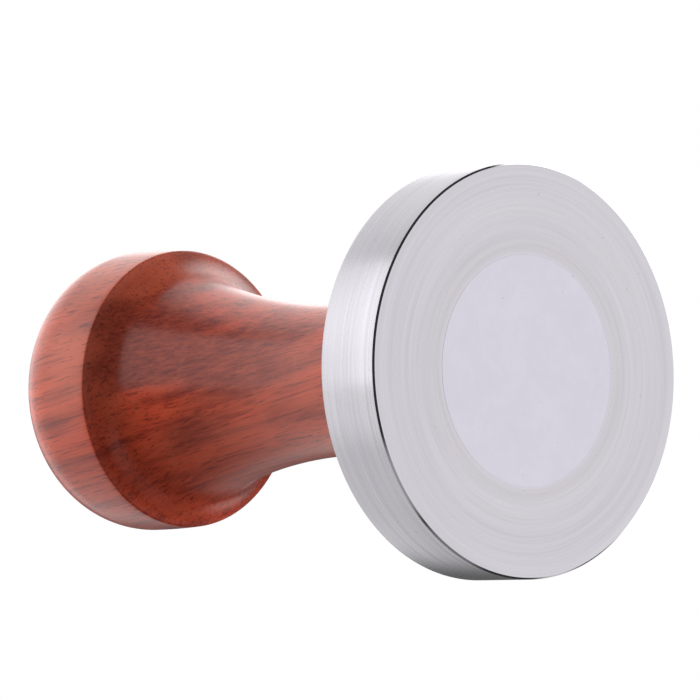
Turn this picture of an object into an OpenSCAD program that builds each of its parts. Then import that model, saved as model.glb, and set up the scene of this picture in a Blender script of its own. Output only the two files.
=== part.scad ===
// Espresso tamper: a turned steel base, a turned wooden handle, and the stud that joins them.
// The handle's axis is +Z, and the origin is the middle of the tamping face.
// The handle unscrews: it turns about +Z and climbs one thread pitch in each turn.

/* [Base] */
// Diameter of the tamping face, a running fit in a double basket
base_d = 58; // [48:0.5:70]
// Thickness of the disc at its rim
base_t = 10.7; // [8:0.1:16]
// Bevel round the tamping face
face_bevel = 0.25; // [0.15:0.05:1]
// Bevel round the disc's back
back_bevel = 0.3; // [0.2:0.05:1.5]
// Height of the seat that stands up behind the disc
seat_h = 3; // [2:0.5:6]
// How far the seat reaches out past the handle's foot
seat_margin = 1; // [0.5:0.1:3]
// Radius of the hollow where the seat meets the disc
seat_fillet = 1.8; // [0.5:0.1:2]
// Metal left below the tapped hole
hole_floor = 3.2; // [2:0.1:4.5]

/* [Handle] */
// Height of the handle, foot to crown
handle_h = 78.7; // [65:0.1:100]
// Diameter of the foot
foot_d = 27.2; // [25:0.1:34]
// Bevel round the foot
foot_bevel = 0.7; // [0.2:0.1:1.5]
// Height of the waist above the foot
waist_h = 21.1; // [15:0.1:28]
// Diameter at the waist
waist_d = 21.6; // [19:0.1:24]
// Diameter where the neck turns out into the flare
neck_top_d = 31.6; // [27:0.1:35]
// Height of the flare below the knob
flare_h = 4.7; // [3.5:0.1:7]

/* [Knob] */
// Diameter at the sharp lower edge of the knob
edge_d = 40.9; // [38:0.1:49]
// Diameter of the knob at its widest
knob_d = 41.5; // [41.2:0.1:50]
// Height of the side band, from the lower edge to the widest part
band_h = 8.2; // [6:0.1:11]
// Radius of the shoulder that rounds the band over
shoulder_r = 10.9; // [8:0.1:14]
// How far the crown domes up above the shoulder
crown_rise = 1.3; // [0.5:0.1:3]

/* [Thread] */
// Diameter of the stud over its thread
stud_d = 8; // [6:0.5:10]
// Length of the stud
stud_l = 20; // [18:0.5:24]
// Bevel at both ends of the stud
stud_bevel = 0.8; // [0.3:0.1:1]
// Hexagon socket of the stud, across its flats
socket_af = 4; // [3:0.5:5]
// Depth of the hexagon socket
socket_h = 4; // [2:0.5:6]
// Space below the stud in its tapped hole
hole_runout = 1.2; // [0.5:0.1:2]
// Radial clearance of the stud in the insert
thread_gap = 0.05; // [0.02:0.01:0.1]

/* [Insert] */
// Outer diameter of the threaded insert
insert_d = 12; // [11:0.5:14]
// Length of the threaded insert
insert_l = 12; // [9:0.5:16]
// Width of the driving slot in the insert
slot_w = 1.6; // [1:0.1:2]
// Depth of the driving slot
slot_h = 1.6; // [1:0.1:2.5]
// Radial room round the stud beyond the insert
bore_gap = 0.5; // [0.2:0.1:1]
// Room above the stud's end inside the handle
bore_spare = 2; // [1:0.5:5]

/* [Washer] */
// Outer diameter of the washer
washer_d = 21; // [18:0.5:23]
// Thickness of the washer
washer_t = 1.2; // [0.8:0.1:2]
// Thickness of the washer that stands below the handle's foot
washer_proud = 0.4; // [0.2:0.1:0.6]
// Radial clearance of the washer in the foot's recess and round the stud
washer_gap = 0.2; // [0.1:0.05:0.4]

/* [Hidden] */

$fn = 96;
ARC_STEPS = 12;
DRILL_POINT = 118;
CUT = 1;

base_r = base_d / 2;
seat_r = foot_d / 2 + seat_margin;
seat_z = base_t + seat_h;
hole_h = seat_z - hole_floor;
stud_r = stud_d / 2;
stud_z = hole_floor + hole_runout;
stud_top = stud_z + stud_l;

foot_z = seat_z + washer_proud;
recess_z = seat_z + washer_t;
bore_top = stud_top + bore_spare;

waist_z = foot_z + waist_h;
top_z = foot_z + handle_h;
knob_z = top_z - crown_rise - shoulder_r;
edge_z = knob_z - band_h;
neck_top_z = edge_z - flare_h;

// A profile is a list of [radius, height] points, and arc() lists those on part of a circle about
// [cr, cz]: 0 degrees is straight outward and 90 is straight up.
function arc(cr, cz, rad, a0, a1) =
    [for (i = [0:ARC_STEPS]) let (a = a0 + (a1 - a0) * i / ARC_STEPS) [cr + rad * cos(a), cz + rad * sin(a)]];

// Radius of an arc that starts along the axis and moves sideways by rise over a height of run
function sweep_radius(run, rise) = (run * run + rise * rise) / (2 * rise);

// Hollow curve from the foot in to the waist
function foot_curve() =
    let (run = waist_h - foot_bevel, rad = sweep_radius(run, (foot_d - waist_d) / 2))
    arc(waist_d / 2 + rad, waist_z, rad, 180 + asin(run / rad), 180);

// Hollow curve from the waist out to the top of the neck
neck_run = neck_top_z - waist_z;
neck_rad = sweep_radius(neck_run, (neck_top_d - waist_d) / 2);
neck_lean = asin(neck_run / neck_rad);
function neck_curve() = arc(waist_d / 2 + neck_rad, waist_z, neck_rad, 180, 180 - neck_lean);

// Tighter hollow that carries on from the neck without a corner and ends at the sharp edge
function flare_curve() =
    let (edge_lean = 2 * atan((edge_d - neck_top_d) / 2 / flare_h) - neck_lean)
    let (rad = flare_h / (sin(edge_lean) - sin(neck_lean)))
    arc(neck_top_d / 2 + rad * cos(neck_lean), neck_top_z - rad * sin(neck_lean), rad,
        180 - neck_lean, 180 - edge_lean);

// Side band, which swells a little from the edge to the widest part
function band_curve() =
    let (rad = sweep_radius(band_h, (knob_d - edge_d) / 2))
    arc(knob_d / 2 - rad, knob_z, rad, -asin(band_h / rad), 0);

// Shoulder and crown meet on one tangent, and the crown is centred on the axis
shoulder_in = knob_d / 2 - shoulder_r;
crown_drop = (shoulder_in * shoulder_in - crown_rise * crown_rise) / (2 * crown_rise);
crown_lean = atan(crown_drop / shoulder_in);
function shoulder_curve() = arc(shoulder_in, knob_z, shoulder_r, 0, crown_lean);
function crown_curve() =
    arc(0, knob_z - crown_drop, crown_drop + crown_rise + shoulder_r, crown_lean, 90);

// An arc without its first point, which the arc before it already ends on
function tail(points) = [for (i = [1:len(points) - 1]) points[i]];

module handle_blank() {
    rotate_extrude()
        polygon(concat(
            [[0, foot_z], [foot_d / 2 - foot_bevel, foot_z]],
            foot_curve(), tail(neck_curve()), tail(flare_curve()),
            tail(band_curve()), tail(shoulder_curve()), tail(crown_curve())
        ));
}

module base_disc() {
    color([0.76, 0.76, 0.78])
    difference() {
        rotate_extrude()
            polygon(concat(
                [[0, 0], [base_r - face_bevel, 0], [base_r, face_bevel],
                 [base_r, base_t - back_bevel], [base_r - back_bevel, base_t]],
                arc(seat_r + seat_fillet, base_t + seat_fillet, seat_fillet, 270, 180),
                [[seat_r, seat_z - back_bevel], [seat_r - back_bevel, seat_z], [0, seat_z]]
            ));
        translate([0, 0, hole_floor]) cylinder(h = hole_h + CUT, r = stud_r);
        translate([0, 0, hole_floor - stud_r / tan(DRILL_POINT / 2)])
            cylinder(h = stud_r / tan(DRILL_POINT / 2), r1 = 0, r2 = stud_r);
    }
}

module stud() {
    color([0.62, 0.62, 0.64])
    translate([0, 0, stud_z])
    difference() {
        rotate_extrude()
            polygon([
                [0, 0], [stud_r - stud_bevel, 0], [stud_r, stud_bevel],
                [stud_r, stud_l - stud_bevel], [stud_r - stud_bevel, stud_l], [0, stud_l]
            ]);
        translate([0, 0, stud_l - socket_h])
            cylinder(h = socket_h + CUT, d = socket_af / cos(30), $fn = 6);
    }
}

module washer() {
    color([0.16, 0.15, 0.14])
    translate([0, 0, seat_z])
    difference() {
        cylinder(h = washer_t, d = washer_d);
        translate([0, 0, -CUT]) cylinder(h = washer_t + 2 * CUT, r = stud_r + washer_gap);
    }
}

module threaded_insert() {
    color([0.80, 0.62, 0.30])
    translate([0, 0, recess_z])
    difference() {
        cylinder(h = insert_l, d = insert_d);
        translate([0, 0, -CUT]) cylinder(h = insert_l + 2 * CUT, r = stud_r + thread_gap);
        translate([-insert_d, -slot_w / 2, -CUT]) cube([2 * insert_d, slot_w, slot_h + CUT]);
    }
}

module handle() {
    color([0.50, 0.24, 0.16])
    difference() {
        handle_blank();
        translate([0, 0, foot_z - CUT])
            cylinder(h = recess_z - foot_z + CUT, r = washer_d / 2 + washer_gap);
        translate([0, 0, foot_z]) cylinder(h = recess_z - foot_z + insert_l, d = insert_d);
        translate([0, 0, foot_z]) cylinder(h = bore_top - foot_z, r = stud_r + bore_gap);
    }
}

base_disc();
stud();
washer();
threaded_insert();
handle();
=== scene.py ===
"""Looks of an espresso tamper: a turned steel base, a rosewood handle and the stud that joins them.

Metres, +Z up along the handle. The origin is the middle of the tamping face.
"""
from math import asin, atan, cos, hypot, pi, radians, sin, tan, tau

import bmesh
import bpy
from mathutils import Matrix, Vector


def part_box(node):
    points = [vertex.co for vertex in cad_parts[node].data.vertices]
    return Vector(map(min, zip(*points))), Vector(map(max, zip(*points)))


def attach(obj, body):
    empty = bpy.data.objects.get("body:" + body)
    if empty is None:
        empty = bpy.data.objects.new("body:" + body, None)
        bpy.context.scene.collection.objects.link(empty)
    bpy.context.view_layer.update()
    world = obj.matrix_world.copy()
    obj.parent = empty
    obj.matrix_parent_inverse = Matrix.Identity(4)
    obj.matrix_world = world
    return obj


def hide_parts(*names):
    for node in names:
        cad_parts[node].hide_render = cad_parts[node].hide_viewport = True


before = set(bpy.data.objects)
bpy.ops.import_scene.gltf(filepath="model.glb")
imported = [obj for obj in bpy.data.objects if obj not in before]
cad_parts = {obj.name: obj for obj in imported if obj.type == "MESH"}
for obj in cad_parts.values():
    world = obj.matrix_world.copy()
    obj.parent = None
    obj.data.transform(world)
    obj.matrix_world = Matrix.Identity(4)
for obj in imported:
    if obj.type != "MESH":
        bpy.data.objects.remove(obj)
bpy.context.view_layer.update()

MM = 0.001
FOOT_R = 13.6 * MM
SPIN_STEPS = 288
ARC_STEPS = 14

# Base, from its CAD box and the sizes of its edges. The step is where its faced disc ends.
base_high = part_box("base_disc")[1]
BASE_R = base_high.x
SEAT_Z = base_high.z
SEAT_H = 3 * MM
BASE_T = SEAT_Z - SEAT_H
FACE_BEVEL = 0.25 * MM
BACK_BEVEL = 0.3 * MM
SEAT_FILLET = 1.8 * MM
SEAT_R = FOOT_R + 1 * MM
FACED_R = 16.2 * MM
FACED_DEPTH = 0.03 * MM
STEP_R = FACED_R + 2 * FACED_DEPTH
HOLD = 0.1 * MM
HOLE_FLOOR = 3.2 * MM

# Stud and its M8 thread
stud_low, stud_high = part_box("stud")
STUD_R = stud_high.x
PITCH = 1.25 * MM
THREAD_H = 0.70 * MM
THREAD_STEPS = 48
ROOT_R = STUD_R - THREAD_H
CREST_R = STUD_R - 0.04 * MM
STUD_BEVEL = 0.8 * MM
SOCKET_R = 2.31 * MM
SOCKET_H = 4 * MM

# Washer
washer_low, washer_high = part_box("washer")
WASHER_R = washer_high.x
WASHER_BORE = STUD_R + 0.2 * MM

# Handle, from its CAD box and the places where its outline changes
handle_low, handle_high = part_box("handle")
FOOT_Z = handle_low.z
TOP_Z = handle_high.z
KNOB_R = handle_high.x
FOOT_BEVEL = 0.7 * MM
WAIST_Z = FOOT_Z + 21.1 * MM
WAIST_R = 10.8 * MM
NECK_TOP_R = 15.8 * MM
EDGE_R = 20.45 * MM
EDGE_ROUND = 0.25 * MM
FLARE_H = 4.7 * MM
BAND_H = 8.2 * MM
SHOULDER_R = 10.9 * MM
CROWN_RISE = 1.3 * MM
KNOB_Z = TOP_Z - CROWN_RISE - SHOULDER_R
EDGE_Z = KNOB_Z - BAND_H
NECK_TOP_Z = EDGE_Z - FLARE_H
RECESS_Z = washer_high.z
RECESS_R = WASHER_R + 0.2 * MM
insert_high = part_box("threaded_insert")[1]
INSERT_R = 6 * MM
BORE_R = STUD_R + 0.5 * MM
BORE_TOP = stud_high.z + 2 * MM
DRILL_TIP = radians(59)

# Camera
LENS = 308.6
SENSOR = 36
CAMERA_PLACE = Vector((0, -0.5779, -0.6018))
CAMERA_AIM = Vector((0.00433, 0, 0.0365))
CAMERA_ROLL = radians(-3.03)


# Outlines: lists of (radius, height) that a spin about Z turns into a solid

def arc(centre, radius, start, end, steps=ARC_STEPS):
    """Points on a circle; 0 is straight outward and a quarter turn is straight up."""
    turns = [start + (end - start) * i / steps for i in range(steps + 1)]
    return [(centre[0] + radius * cos(a), centre[1] + radius * sin(a)) for a in turns]


def sweep_radius(run, rise):
    """Radius of an arc that starts along the axis and moves sideways by rise over run."""
    return (run * run + rise * rise) / (2 * rise)


def foot_curve():
    run = WAIST_Z - FOOT_Z - FOOT_BEVEL
    radius = sweep_radius(run, FOOT_R - WAIST_R)
    return arc((WAIST_R + radius, WAIST_Z), radius, pi + asin(run / radius), pi)


def neck_lean():
    """How far the neck leans out from the axis where the flare takes over."""
    run = NECK_TOP_Z - WAIST_Z
    return asin(run / sweep_radius(run, NECK_TOP_R - WAIST_R))


def neck_curve():
    radius = sweep_radius(NECK_TOP_Z - WAIST_Z, NECK_TOP_R - WAIST_R)
    return arc((WAIST_R + radius, WAIST_Z), radius, pi, pi - neck_lean(), 2 * ARC_STEPS)


def edge_lean():
    """How far the flare leans out from the axis where it meets the knob's lower edge."""
    return 2 * atan((EDGE_R - NECK_TOP_R) / FLARE_H) - neck_lean()


def flare_curve():
    radius = FLARE_H / (sin(edge_lean()) - sin(neck_lean()))
    centre = (NECK_TOP_R + radius * cos(neck_lean()), NECK_TOP_Z - radius * sin(neck_lean()))
    return arc(centre, radius, pi - neck_lean(), pi - edge_lean())


def band_curve():
    radius = sweep_radius(BAND_H, KNOB_R - EDGE_R)
    return arc((KNOB_R - radius, KNOB_Z), radius, -asin(BAND_H / radius), 0, 6)


def crown_curves():
    inner = KNOB_R - SHOULDER_R
    drop = (inner * inner - CROWN_RISE * CROWN_RISE) / (2 * CROWN_RISE)
    lean = atan(drop / inner)
    shoulder = arc((inner, KNOB_Z), SHOULDER_R, 0, lean, 2 * ARC_STEPS)
    crown = arc((0, KNOB_Z - drop), drop + CROWN_RISE + SHOULDER_R, lean, pi / 2)
    return shoulder + crown


def rounded(before, corner, after, size, steps=4):
    """A corner eased by a short curve that starts and ends size away from it."""
    start = Vector(corner).lerp(Vector(before), size / (Vector(before) - Vector(corner)).length)
    end = Vector(corner).lerp(Vector(after), size / (Vector(after) - Vector(corner)).length)
    middle = Vector(corner)
    ease = [i / steps for i in range(steps + 1)]
    return [tuple(start * (1 - t) ** 2 + middle * 2 * t * (1 - t) + end * t * t) for t in ease]


def handle_outline():
    flare, band = flare_curve(), band_curve()
    edge = rounded(flare[-2], flare[-1], band[1], EDGE_ROUND)
    foot = rounded((RECESS_R, FOOT_Z), (FOOT_R, FOOT_Z), foot_curve()[0], FOOT_BEVEL)
    outside = foot + foot_curve() + neck_curve() + flare[:-1] + edge + band[1:] + crown_curves()
    inside = [
        (0, BORE_TOP + BORE_R / tan(DRILL_TIP)), (BORE_R, BORE_TOP), (BORE_R, insert_high.z),
        (INSERT_R, insert_high.z), (INSERT_R, RECESS_Z), (RECESS_R, RECESS_Z), (RECESS_R, FOOT_Z),
    ]
    return inside + outside


def base_outline():
    """Points a hold away from each end of the step keep the flats beside it flat in shading."""
    face = [(0, FACED_DEPTH), (FACED_R - HOLD, FACED_DEPTH), (FACED_R, FACED_DEPTH)]
    rim = [(STEP_R, 0), (STEP_R + HOLD, 0), (BASE_R - FACE_BEVEL, 0), (BASE_R, FACE_BEVEL)]
    back = rounded((BASE_R, 0), (BASE_R, BASE_T), (0, BASE_T), BACK_BEVEL)
    hollow = arc((SEAT_R + SEAT_FILLET, BASE_T + SEAT_FILLET), SEAT_FILLET, 1.5 * pi, pi, 8)
    top = rounded((SEAT_R, BASE_T), (SEAT_R, SEAT_Z), (0, SEAT_Z), BACK_BEVEL)
    hole = [(STUD_R, SEAT_Z), (STUD_R, HOLE_FLOOR), (0, HOLE_FLOOR - STUD_R / tan(DRILL_TIP))]
    return face + rim + back + hollow + top + hole


def washer_outline():
    ease = 0.15 * MM
    low, high = washer_low.z, washer_high.z
    corners = [(WASHER_BORE, low), (WASHER_R, low), (WASHER_R, high), (WASHER_BORE, high)]
    ring = []
    for i, corner in enumerate(corners):
        ring += rounded(corners[i - 1], corner, corners[(i + 1) % 4], ease, 3)
    return ring + ring[:1]


# Meshes

def merged(points):
    """The points without those that repeat the one before."""
    kept = [points[0]]
    for point in points[1:]:
        if hypot(point[0] - kept[-1][0], point[1] - kept[-1][1]) > 1e-7:
            kept.append(point)
    return kept


def finished(bm, name, sharp=radians(28)):
    """The mesh as a smooth-shaded object at the origin, with crisp corners left crisp."""
    bmesh.ops.remove_doubles(bm, verts=bm.verts, dist=1e-7)
    bmesh.ops.recalc_face_normals(bm, faces=bm.faces)
    for face in bm.faces:
        face.smooth = True
    for edge in bm.edges:
        edge.smooth = len(edge.link_faces) == 2 and edge.calc_face_angle() < sharp
    mesh = bpy.data.meshes.new(name)
    bm.to_mesh(mesh)
    bm.free()
    piece = bpy.data.objects.new(name, mesh)
    bpy.context.collection.objects.link(piece)
    return piece


def spun(name, outline):
    """A turned piece: its outline spun a full turn about Z."""
    bm = bmesh.new()
    points = merged(outline)
    closed = points[0] == points[-1]
    verts = [bm.verts.new((r, 0, z)) for r, z in (points[:-1] if closed else points)]
    pairs = list(zip(verts, verts[1:])) + ([(verts[-1], verts[0])] if closed else [])
    edges = [bm.edges.new(pair) for pair in pairs]
    bmesh.ops.spin(bm, geom=verts + edges, cent=(0, 0, 0), axis=(0, 0, 1), angle=tau,
                   steps=SPIN_STEPS, use_merge=True)
    return finished(bm, name)


def stud_piece():
    """A set screw: a right-hand thread cut off square, with a hexagon socket in its top."""
    bm = bmesh.new()
    low, high = stud_low.z, stud_high.z
    turns = int((high - low) / PITCH) + 3
    start = low - PITCH
    form = [(ROOT_R, 0), (ROOT_R, 0.14), (CREST_R, 0.47), (CREST_R, 0.58), (ROOT_R, 0.91), (ROOT_R, 1)]
    verts = [bm.verts.new((r, 0, start + share * PITCH)) for r, share in form]
    edges = [bm.edges.new(pair) for pair in zip(verts, verts[1:])]
    bmesh.ops.spin(bm, geom=verts + edges, cent=(0, 0, 0), axis=(0, 0, 1), angle=tau * turns,
                   dvec=(0, 0, PITCH / THREAD_STEPS), steps=THREAD_STEPS * turns)
    bmesh.ops.remove_doubles(bm, verts=bm.verts, dist=1e-6)
    for height, side in ((low, -1), (high, 1)):
        bmesh.ops.bisect_plane(bm, geom=bm.verts[:] + bm.edges[:] + bm.faces[:], dist=1e-7,
                               plane_co=(0, 0, height), plane_no=(0, 0, side), clear_outer=True)
    for vert in bm.verts:
        depth = min(vert.co.z - low, high - vert.co.z)
        limit = STUD_R - STUD_BEVEL + depth
        radius = vert.co.xy.length
        if radius > limit:
            vert.co.xy *= limit / radius
    close_end(bm, low)
    socket_end(bm, high)
    return finished(bm, "stud_thread")


def end_edges(bm, height):
    return [e for e in bm.edges if e.is_boundary and all(abs(v.co.z - height) < 1e-6 for v in e.verts)]


def close_end(bm, height):
    bmesh.ops.contextual_create(bm, geom=end_edges(bm, height))


def socket_end(bm, height):
    rim = end_edges(bm, height)
    hexagon = bmesh.ops.create_circle(bm, segments=6, radius=SOCKET_R, cap_ends=False,
                                      matrix=Matrix.Translation((0, 0, height)))["verts"]
    mouth = [e for e in bm.edges if all(v in hexagon for v in e.verts)]
    bmesh.ops.bridge_loops(bm, edges=rim + mouth)
    walls = bmesh.ops.extrude_edge_only(bm, edges=mouth)["geom"]
    floor = [g for g in walls if isinstance(g, bmesh.types.BMVert)]
    bmesh.ops.translate(bm, verts=floor, vec=(0, 0, -SOCKET_H))
    bmesh.ops.contextual_create(bm, geom=[g for g in walls if isinstance(g, bmesh.types.BMEdge)
                                          and all(v in floor for v in g.verts)])


# Materials

class Nodes:
    """Short calls for building one material's node tree."""

    def __init__(self, name):
        self.material = bpy.data.materials.new(name)
        self.material.use_nodes = True
        self.tree = self.material.node_tree
        self.shader = self.tree.nodes["Principled BSDF"]
        self.output = self.tree.nodes["Material Output"]

    def add(self, kind, **settings):
        node = self.tree.nodes.new(kind)
        for key, value in settings.items():
            setattr(node, key, value)
        return node

    def link(self, source, target):
        self.tree.links.new(source, target)

    def feed(self, value, socket):
        if isinstance(value, bpy.types.NodeSocket):
            self.link(value, socket)
        else:
            socket.default_value = value

    def maths(self, operation, a, b=0.0):
        node = self.add("ShaderNodeMath", operation=operation)
        for value, socket in zip((a, b), node.inputs):
            self.feed(value, socket)
        return node.outputs[0]

    def ramp(self, value, low, high, start=0.0, end=1.0):
        node = self.add("ShaderNodeMapRange", interpolation_type="SMOOTHSTEP")
        for item, socket in zip((value, low, high, start, end), node.inputs):
            self.feed(item, socket)
        return node.outputs["Result"]

    def mix(self, share, a, b, blend="MIX"):
        node = self.add("ShaderNodeMix", data_type="RGBA", blend_type=blend)
        self.feed(share, node.inputs["Factor"])
        for value, socket in ((a, node.inputs[6]), (b, node.inputs[7])):
            self.feed((*value, 1) if isinstance(value, tuple) else value, socket)
        return node.outputs[2]

    def noise(self, vector, scale, detail=3.0, roughness=0.5):
        node = self.add("ShaderNodeTexNoise", noise_dimensions="3D")
        self.link(vector, node.inputs["Vector"])
        node.inputs["Scale"].default_value = scale
        node.inputs["Detail"].default_value = detail
        node.inputs["Roughness"].default_value = roughness
        return node.outputs["Fac"]

    def place(self, turn=(0, 0, 0), stretch=(1, 1, 1), shift=(0, 0, 0)):
        """Object coordinates in millimetres, turned and then stretched."""
        coordinates = self.add("ShaderNodeTexCoord").outputs["Object"]
        turned = self.add("ShaderNodeMapping")
        self.link(coordinates, turned.inputs["Vector"])
        turned.inputs["Rotation"].default_value = turn
        turned.inputs["Scale"].default_value = (1 / MM,) * 3
        stretched = self.add("ShaderNodeMapping")
        self.link(turned.outputs[0], stretched.inputs["Vector"])
        stretched.inputs["Scale"].default_value = stretch
        stretched.inputs["Location"].default_value = shift
        return stretched.outputs[0]

    def split(self, vector):
        node = self.add("ShaderNodeSeparateXYZ")
        self.link(vector, node.inputs[0])
        return node.outputs

    def join(self, x, y, z):
        node = self.add("ShaderNodeCombineXYZ")
        for value, socket in zip((x, y, z), node.inputs):
            self.feed(value, socket)
        return node.outputs[0]

    def bump(self, height, depth):
        node = self.add("ShaderNodeBump")
        node.inputs["Distance"].default_value = depth
        self.link(height, node.inputs["Height"])
        self.link(node.outputs[0], self.shader.inputs["Normal"])


def lathe_rings(n, spacing, reach):
    """Fine tool marks that run round the axis, on flat faces and round sides alike."""
    x, y, z = n.split(n.place())
    radius = n.maths("SQRT", n.maths("ADD", n.maths("MULTIPLY", x, x), n.maths("MULTIPLY", y, y)))
    across = n.maths("DIVIDE", n.maths("ADD", radius, z), spacing)
    safe = n.maths("MAXIMUM", radius, 0.5)
    round_x = n.maths("MULTIPLY", n.maths("DIVIDE", x, safe), reach)
    round_y = n.maths("MULTIPLY", n.maths("DIVIDE", y, safe), reach)
    return n.join(round_x, round_y, across), radius, z


# Tones of the lathe-turned steel, from its outer ring to its faced disc
STEEL_COOL, STEEL_PALE = (0.44, 0.424, 0.462), (0.466, 0.45, 0.484)
STEEL_DARK_LINE, STEEL_LIGHT_LINE = (0.405, 0.388, 0.405), (0.485, 0.47, 0.505)
STEEL_BORDER = (0.425, 0.408, 0.425)
STEEL_DISC, STEEL_DISC_PALE = (0.472, 0.454, 0.512), (0.494, 0.477, 0.535)
STEEL_SPECK = (0.25, 0.24, 0.23)


def turned_steel(name, stretch):
    """Stainless steel with long fine lathe lines, and a smoother disc faced into its middle.

    The stretch is how far the lines draw out the highlights.
    """
    n = Nodes(name)
    rings, radius, z = lathe_rings(n, 0.32, 0.7)
    broad, _, _ = lathe_rings(n, 2.6, 0.5)
    fine = n.noise(rings, 1.0, detail=3, roughness=0.65)
    wide = n.noise(broad, 1.0, detail=2)
    low = n.ramp(z, 0.5, 0.3)
    disc = FACED_R / MM
    faced = n.maths("MULTIPLY", n.ramp(radius, disc + 0.7, disc - 0.3), low)
    ring = n.maths("MULTIPLY", n.ramp(radius, disc - 0.2, disc + 0.8), n.ramp(radius, disc + 3.2, disc + 1.2))
    border = n.maths("MULTIPLY", ring, low)
    cloud = n.noise(n.place(), 0.16, detail=6, roughness=0.7)
    outer = n.mix(n.ramp(wide, 0.3, 0.7), STEEL_COOL, STEEL_PALE)
    outer = n.mix(n.ramp(fine, 0.52, 0.70, 0.0, 0.3), outer, STEEL_DARK_LINE)
    outer = n.mix(n.ramp(fine, 0.46, 0.32, 0.0, 0.3), outer, STEEL_LIGHT_LINE)
    outer = n.mix(n.maths("MULTIPLY", border, 0.35), outer, STEEL_BORDER)
    inner = n.mix(n.ramp(cloud, 0.3, 0.7), STEEL_DISC, STEEL_DISC_PALE)
    tone = n.mix(faced, outer, inner)
    speck = n.ramp(n.noise(n.place(), 1.9, detail=0), 0.84, 0.88)
    tone = n.mix(n.maths("MULTIPLY", speck, 0.5), tone, STEEL_SPECK)
    n.link(tone, n.shader.inputs["Base Color"])
    rough = n.ramp(fine, 0.25, 0.75, 0.23, 0.31)
    n.link(n.mix(faced, n.join(rough, rough, rough), (0.25, 0.25, 0.25)), n.shader.inputs["Roughness"])
    n.shader.inputs["Metallic"].default_value = 1
    n.shader.inputs["Anisotropic"].default_value = stretch
    n.shader.inputs["Anisotropic Rotation"].default_value = 0.25
    tangent = n.add("ShaderNodeTangent", direction_type="RADIAL", axis="Z")
    n.link(tangent.outputs[0], n.shader.inputs["Tangent"])
    cut = n.maths("ADD", fine, n.maths("MULTIPLY", wide, 0.4))
    n.bump(n.maths("MULTIPLY", cut, n.maths("SUBTRACT", 1.0, faced)), 0.001 * MM)
    return n.material


def polished_steel():
    n = Nodes("polished_edge")
    rings, _, _ = lathe_rings(n, 0.2, 6.0)
    fine = n.noise(rings, 1.0, detail=3)
    n.link(n.mix(fine, (0.50, 0.49, 0.52), (0.60, 0.59, 0.62)), n.shader.inputs["Base Color"])
    n.link(n.ramp(fine, 0.2, 0.8, 0.06, 0.14), n.shader.inputs["Roughness"])
    n.shader.inputs["Metallic"].default_value = 1
    return n.material


def threaded_steel():
    n = Nodes("threaded_steel")
    rings, _, _ = lathe_rings(n, 0.12, 3.0)
    fine = n.noise(rings, 1.0, detail=3)
    n.link(n.mix(fine, (0.40, 0.40, 0.41), (0.58, 0.58, 0.60)), n.shader.inputs["Base Color"])
    n.link(n.ramp(fine, 0.2, 0.8, 0.28, 0.45), n.shader.inputs["Roughness"])
    n.shader.inputs["Metallic"].default_value = 1
    n.bump(fine, 0.01 * MM)
    return n.material


def brass():
    n = Nodes("machined_brass")
    rings, _, _ = lathe_rings(n, 0.2, 2.0)
    fine = n.noise(rings, 1.0, detail=3)
    n.link(n.mix(fine, (0.62, 0.40, 0.14), (0.78, 0.56, 0.24)), n.shader.inputs["Base Color"])
    n.link(n.ramp(fine, 0.2, 0.8, 0.22, 0.4), n.shader.inputs["Roughness"])
    n.shader.inputs["Metallic"].default_value = 1
    n.bump(fine, 0.01 * MM)
    return n.material


def fibre():
    n = Nodes("pressed_fibre")
    speckle = n.noise(n.place(), 3.0, detail=5, roughness=0.7)
    n.link(n.mix(speckle, (0.012, 0.010, 0.009), (0.05, 0.042, 0.036)), n.shader.inputs["Base Color"])
    n.link(n.ramp(speckle, 0.3, 0.7, 0.6, 0.85), n.shader.inputs["Roughness"])
    n.bump(speckle, 0.03 * MM)
    return n.material


# Lean of the wood's layers, and the tones of its parts
LAYER_TILT = (0, radians(10), radians(8))
DARK_LAYER, LIGHT_LAYER = (0.50, 0.045, 0.020), (0.98, 0.116, 0.047)
WARM_PATCH = (0.95, 0.148, 0.058)
# Painted highlight: the paler tone laid on the +X side of the knob's rim, where the light falls
RIM_PAINTED_LIGHT = (1.0, 0.21, 0.11)
# Dark heartwood tone, which also serves as painted shade on the knob's flare
HEARTWOOD_AND_SHADE = (0.28, 0.028, 0.019)
LIGHT_FIBRE, DARK_FIBRE = (0.95, 0.18, 0.080), (0.21, 0.020, 0.013)
FIGURE = (0.82, 0.24, 0.11)
PORE = (0.10, 0.014, 0.010)


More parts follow.
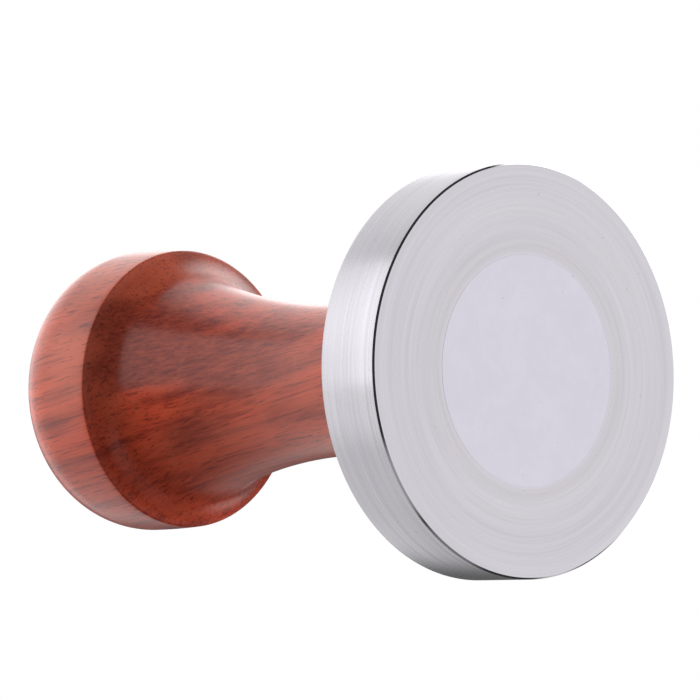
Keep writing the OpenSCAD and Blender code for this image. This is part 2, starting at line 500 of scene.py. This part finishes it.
def rosewood():
    """Red-brown layers that lean from the axis, a painted highlight on the lit side of the rim, dark patches
    that are partly heartwood and partly painted shade, pores and a satin lacquer.
    """
    n = Nodes("lacquered_rosewood")
    bend = n.noise(n.place(LAYER_TILT, (0.05, 0.05, 0.012)), 1.0, detail=2)
    grain = n.place(LAYER_TILT, (0.50, 0.15, 0.014))
    warp = n.add("ShaderNodeVectorMath", operation="ADD")
    n.link(grain, warp.inputs[0])
    n.link(n.join(n.maths("MULTIPLY", n.maths("SUBTRACT", bend, 0.5), 3.0), 0.0, 0.0), warp.inputs[1])
    layers = n.noise(warp.outputs[0], 1.0, detail=5, roughness=0.62)
    fibres = n.noise(n.place(LAYER_TILT, (2.2, 1.4, 0.045)), 1.0, detail=4, roughness=0.65)
    patches = n.noise(n.place(LAYER_TILT, (0.07, 0.05, 0.03), (3, 1, 2)), 1.0, detail=1)
    # Heartwood patches, offset so the darkest falls on the flare where it lies in shade: partly wood tone,
    # partly painted shade
    heart_and_shade = n.noise(n.place(LAYER_TILT, (0.09, 0.05, 0.028), (7, 3, 5)), 1.0, detail=2)
    figure = n.noise(n.place(LAYER_TILT, (0.18, 0.12, 0.55), (5, 2, 1)), 1.0, detail=2)
    pores = n.noise(n.place(LAYER_TILT, (5.0, 4.0, 0.22), (1, 4, 7)), 1.0, detail=1)

    tone = n.mix(n.ramp(layers, 0.32, 0.58), DARK_LAYER, LIGHT_LAYER)
    tone = n.mix(n.maths("MULTIPLY", n.ramp(patches, 0.45, 0.65), 0.55), tone, WARM_PATCH)
    x, _, z = n.split(n.place())
    edge, knob = EDGE_Z / MM, KNOB_Z / MM
    # Painted highlight: the rim band is made paler towards +X, the side the light falls on
    rim = n.maths("MULTIPLY", n.ramp(z, edge - 5.4, edge - 1.4), n.ramp(z, knob + 9.4, knob - 4.6))
    rim_painted_light = n.maths("MULTIPLY", rim, n.ramp(x, -10, 6, 0.0, 0.75))
    tone = n.mix(rim_painted_light, tone, RIM_PAINTED_LIGHT)
    tone = n.mix(n.ramp(heart_and_shade, 0.48, 0.62, 0.0, 0.75), tone, HEARTWOOD_AND_SHADE)
    tone = n.mix(n.ramp(fibres, 0.40, 0.75, 0.0, 0.45), tone, LIGHT_FIBRE)
    tone = n.mix(n.ramp(fibres, 0.47, 0.28, 0.0, 0.75), tone, DARK_FIBRE)
    tone = n.mix(n.ramp(figure, 0.55, 0.75, 0.0, 0.12), tone, FIGURE)
    tone = n.mix(n.ramp(pores, 0.60, 0.72, 0.0, 0.5), tone, PORE)
    n.link(tone, n.shader.inputs["Base Color"])
    n.link(n.ramp(fibres, 0.3, 0.7, 0.46, 0.56), n.shader.inputs["Roughness"])
    n.shader.inputs["Specular IOR Level"].default_value = 0.06
    n.shader.inputs["Coat Weight"].default_value = 1
    n.shader.inputs["Coat Roughness"].default_value = 0.25
    n.shader.inputs["Coat IOR"].default_value = 1.42
    n.bump(n.maths("SUBTRACT", fibres, n.ramp(pores, 0.66, 0.74)), 0.012 * MM)
    return n.material


# Pieces

def dress(piece, material):
    """Puts one material on a new piece or on a CAD node."""
    piece.data.materials.clear()
    piece.data.materials.append(material)


def add_piece(piece, body, node, material):
    dress(piece, material)
    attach(piece, body)
    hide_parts(node)


def finish_face(base):
    """Gives the bevel round the tamping face a bright finish, and the face a more even one."""
    base.data.materials.append(polished_steel())
    base.data.materials.append(turned_steel("turned_face", 0.1))
    for face in base.data.polygons:
        middle = face.center
        if middle.z < FACE_BEVEL and middle.xy.length > BASE_R - FACE_BEVEL:
            face.material_index = 1
        elif middle.z < 2 * FACED_DEPTH:
            face.material_index = 2


base = spun("base_turned", base_outline())
add_piece(base, "base", "base_disc", turned_steel("turned_steel", 0.6))
finish_face(base)
add_piece(stud_piece(), "base", "stud", threaded_steel())
add_piece(spun("washer_ring", washer_outline()), "washer", "washer", fibre())
add_piece(spun("handle_turned", handle_outline()), "handle", "handle", rosewood())
dress(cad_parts["threaded_insert"], brass())


# Studio: directions are given as a turn from -Y towards +X and a rise above the floor

def towards(turn, rise):
    a, e = radians(turn), radians(rise)
    return Vector((sin(a) * cos(e), -cos(a) * cos(e), sin(e)))


def softbox(name, turn, rise, distance, width, height, brightness):
    """An area light that faces the middle of the tamper; brightness is what a mirror shows."""
    light = bpy.data.lights.new(name, "AREA")
    light.shape = "RECTANGLE"
    light.size, light.size_y = width, height
    light.energy = brightness * pi * width * height
    box = bpy.data.objects.new(name, light)
    away = towards(turn, rise)
    box.location = Vector((0, 0, TOP_Z / 2)) + away * distance
    box.rotation_euler = away.to_track_quat("Z", "Y").to_euler()
    bpy.context.collection.objects.link(box)


# Broad tones of the room, each laid over those before: turn, rise, half width, softness, brightness
ROOM_TONE = 0.045
ROOM = (
    (0, 90, 45, 14, 1.5),
    (-50, 64, 29, 9, 1.16),
    (-14, 49, 11, 8, 1.6),
    (178, -53, 30, 12, 1.43),
    (-55, -36, 13, 8, 0.5),
    (-95, -22, 12, 8, 0.3),
    (-146, 0, 9, 6, 1.2),
    (150, 24, 24, 12, 0.7),
    (174, 38, 21, 10, 2.3),
    (146, 0, 15, 8, 3.2),
    (110, 48, 22, 12, 1.35),
    (-160, 54, 16, 8, 0.12),
)


def room():
    """A studio round the tamper, and plain white wherever the camera looks past it."""
    world = bpy.data.worlds.new("studio")
    bpy.context.scene.world = world
    world.use_nodes = True
    tree = world.node_tree
    add, link = tree.nodes.new, tree.links.new
    look = add("ShaderNodeTexCoord").outputs["Generated"]
    tone = None
    for turn, rise, half, soft, brightness in ROOM:
        near = add("ShaderNodeVectorMath")
        near.operation = "DOT_PRODUCT"
        near.inputs[1].default_value = towards(turn, rise)
        link(look, near.inputs[0])
        lobe = add("ShaderNodeMapRange")
        lobe.interpolation_type = "SMOOTHSTEP"
        lobe.inputs["From Min"].default_value = cos(radians(half + soft))
        lobe.inputs["From Max"].default_value = cos(radians(max(half - soft, 0)))
        link(near.outputs["Value"], lobe.inputs["Value"])
        blend = add("ShaderNodeMix")
        link(lobe.outputs["Result"], blend.inputs["Factor"])
        if tone is None:
            blend.inputs[2].default_value = ROOM_TONE
        else:
            link(tone, blend.inputs[2])
        blend.inputs[3].default_value = brightness
        tone = blend.outputs[0]
    seen = add("ShaderNodeMix")
    link(add("ShaderNodeLightPath").outputs["Is Camera Ray"], seen.inputs["Factor"])
    link(tone, seen.inputs[2])
    seen.inputs[3].default_value = 1.0
    link(seen.outputs[0], tree.nodes["Background"].inputs["Strength"])
    tree.nodes["Background"].inputs["Color"].default_value = (1, 1, 1, 1)


FLOOR_DROP = 0.1 * MM
FLOOR_HALF = 4


def floor():
    """A pale floor just under the tamping face. It shows from above and is clear from below."""
    bm = bmesh.new()
    bmesh.ops.create_grid(bm, x_segments=1, y_segments=1, size=FLOOR_HALF,
                          matrix=Matrix.Translation((0, 0, -FLOOR_DROP)))
    piece = finished(bm, "floor")
    n = Nodes("pale_floor")
    grit = n.noise(n.place(), 0.02, detail=4)
    n.link(n.mix(grit, (0.80, 0.80, 0.80), (0.84, 0.84, 0.84)), n.shader.inputs["Base Color"])
    n.shader.inputs["Roughness"].default_value = 0.8
    clear = n.add("ShaderNodeBsdfTransparent")
    side = n.add("ShaderNodeMixShader")
    n.link(n.add("ShaderNodeNewGeometry").outputs["Backfacing"], side.inputs[0])
    n.link(n.shader.outputs[0], side.inputs[1])
    n.link(clear.outputs[0], side.inputs[2])
    n.link(side.outputs[0], n.output.inputs["Surface"])
    dress(piece, n.material)
    piece.visible_shadow = False
    piece.visible_diffuse = False
    piece.visible_glossy = False
    piece.visible_transmission = False


def camera():
    """A long lens below the tamper, looking up at its tamping face, with +X at the top."""
    data = bpy.data.cameras.new("camera")
    data.lens = LENS
    data.sensor_width = SENSOR
    ahead = (CAMERA_AIM - CAMERA_PLACE).normalized()
    right = ahead.cross(Vector((1, 0, 0))).normalized()
    top = right.cross(ahead)
    turn = Matrix((right, top, -ahead)).transposed().to_4x4()
    eye = bpy.data.objects.new("camera", data)
    eye.matrix_world = Matrix.Translation(CAMERA_PLACE) @ turn @ Matrix.Rotation(CAMERA_ROLL, 4, "Z")
    bpy.context.collection.objects.link(eye)
    bpy.context.scene.camera = eye


softbox("key_box", 31, 23, 0.6, 0.62, 0.62, 1.3)
room()
floor()
camera()
bpy.context.scene.view_settings.view_transform = "Standard"
